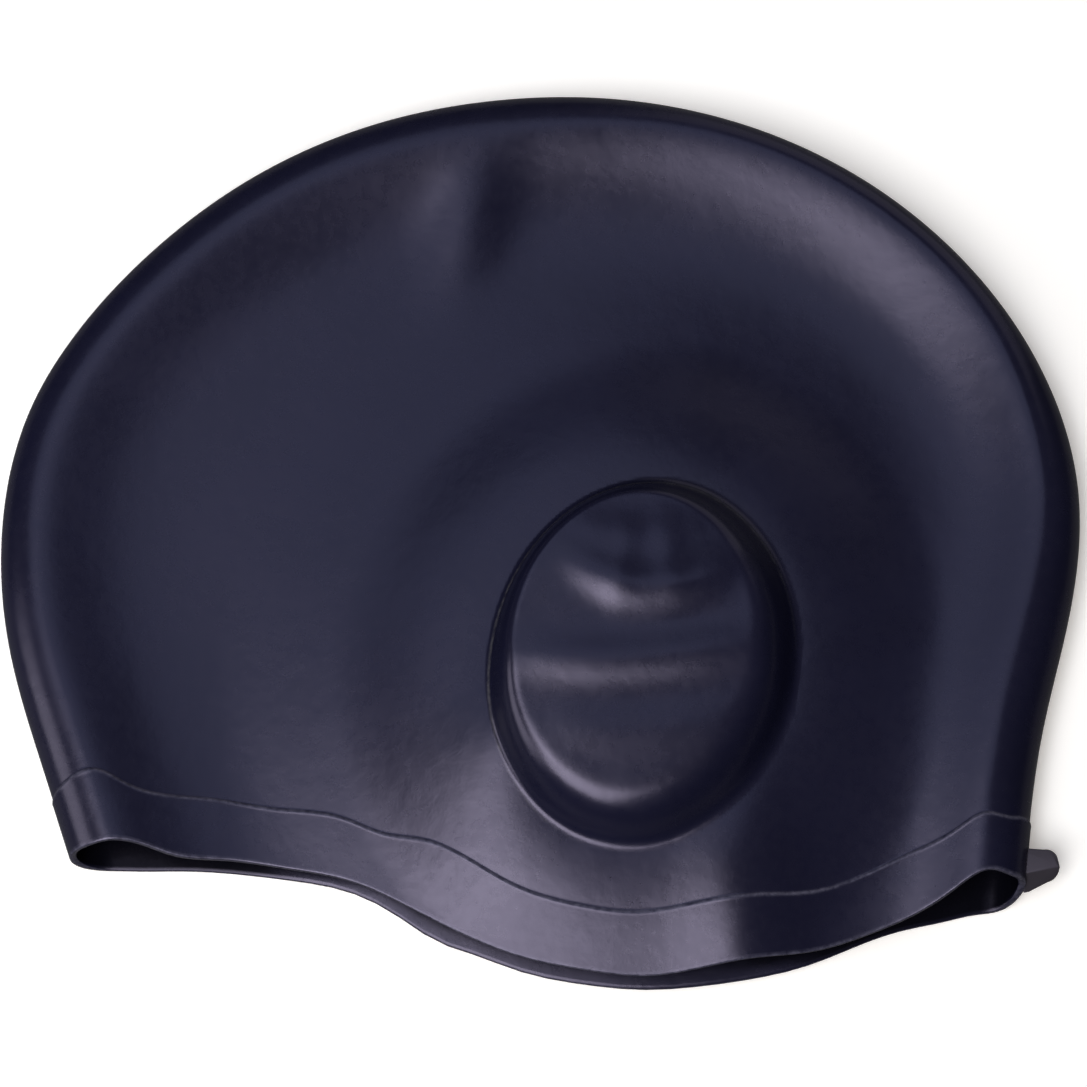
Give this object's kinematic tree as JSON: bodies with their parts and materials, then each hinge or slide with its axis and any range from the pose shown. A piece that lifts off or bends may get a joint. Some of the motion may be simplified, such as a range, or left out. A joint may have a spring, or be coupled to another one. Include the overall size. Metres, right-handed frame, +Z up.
{
  "type": "swim cap",
  "caption": "Moulded silicone swim cap with a deep oval pocket for each ear and a small pull tab at the nape, lying folded on its side.",
  "frame": {"origin": "middle of the cap's outline, on the table under it", "axes": "+X from the forehead edge to the nape edge, +Y from the mouth to the crown, +Z up from the table"},
  "size_m": [0.235, 0.2004, 0.029],
  "materials": {
    "silicone": "satin moulded silicone, dark navy"
  },
  "bodies": {
    "root": {"cap": "silicone"}
  },
  "joints": []
}
